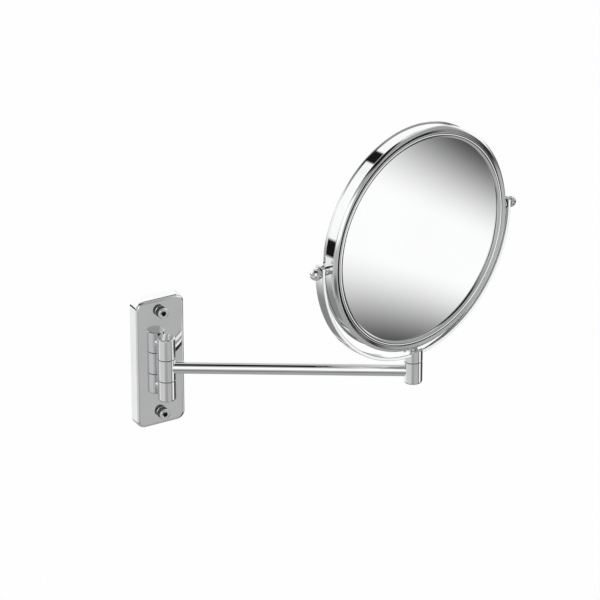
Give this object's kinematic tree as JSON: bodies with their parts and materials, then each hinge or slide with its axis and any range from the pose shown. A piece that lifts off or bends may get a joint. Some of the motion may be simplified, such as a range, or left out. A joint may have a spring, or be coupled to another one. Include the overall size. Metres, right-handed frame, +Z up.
{
  "type": "wall-mounted shaving mirror",
  "caption": "Wall-mounted round shaving mirror: rectangular wall plate, knuckle hinge, straight tube arm, swivelling U yoke and a tilting double-sided head with a magnifying face.",
  "frame": {"origin": "centre of the wall plate's back face, on the wall", "axes": "+Y into the wall, so the mirror stands out along -Y; +X to the right as one faces the wall; +Z up"},
  "size_m": [0.3181, 0.1739, 0.2835],
  "materials": {
    "polished_chrome": "mirror-polished chrome plating",
    "mirror_glass": "silvered glass",
    "dark_washer": "matt black nylon",
    "white_nylon": "natural nylon",
    "plain_steel": "zinc-plated steel",
    "brass_insert": "turned brass"
  },
  "bodies": {
    "wall_bracket": {"wall_plate": "polished_chrome", "wall_screws": "polished_chrome", "hinge_knuckle_top": "polished_chrome", "hinge_knuckle_bottom": "polished_chrome", "knuckle_screws": "plain_steel", "hinge_pin": "plain_steel", "hinge_cap": "polished_chrome"},
    "arm": {"arm_knuckle": "polished_chrome", "hinge_bush": "white_nylon", "hinge_washers": "dark_washer", "arm_tube": "polished_chrome", "arm_insert_wall": "brass_insert", "arm_insert_head": "brass_insert", "end_socket": "polished_chrome", "swivel_bush": "white_nylon", "swivel_cap": "polished_chrome", "swivel_washer": "dark_washer"},
    "yoke": {"yoke_stem": "polished_chrome", "yoke_strap": "polished_chrome", "yoke_nut": "polished_chrome", "swivel_bolt": "plain_steel", "swivel_spring": "plain_steel", "pivot_bushes": "white_nylon"},
    "head": {"drum_band": "polished_chrome", "bezel_front": "polished_chrome", "bezel_rear": "polished_chrome", "magnifying_glass": "mirror_glass", "plain_glass": "mirror_glass", "glass_spacer": "white_nylon", "pivot_bosses": "polished_chrome", "boss_nuts": "plain_steel", "pivot_knobs": "polished_chrome", "inner_washers": "dark_washer", "outer_washers": "dark_washer"}
  },
  "joints": [
    {"name": "arm_swing", "type": "hinge", "parent": "wall_bracket", "child": "arm", "pos_m": [0, -0.0219, -0.0008], "axis": [0, 0, 1], "range_deg": [-148.5, 31.5]},
    {"name": "head_swivel", "type": "hinge", "parent": "arm", "child": "yoke", "pos_m": [0.17974, -0.13204, -0.0008], "axis": [0, 0, 1], "continuous": true},
    {"name": "mirror_tilt", "type": "hinge", "parent": "yoke", "child": "head", "pos_m": [0.17974, -0.13204, 0.1237], "axis": [0.9781, 0.2079, 0], "continuous": true}
  ]
}
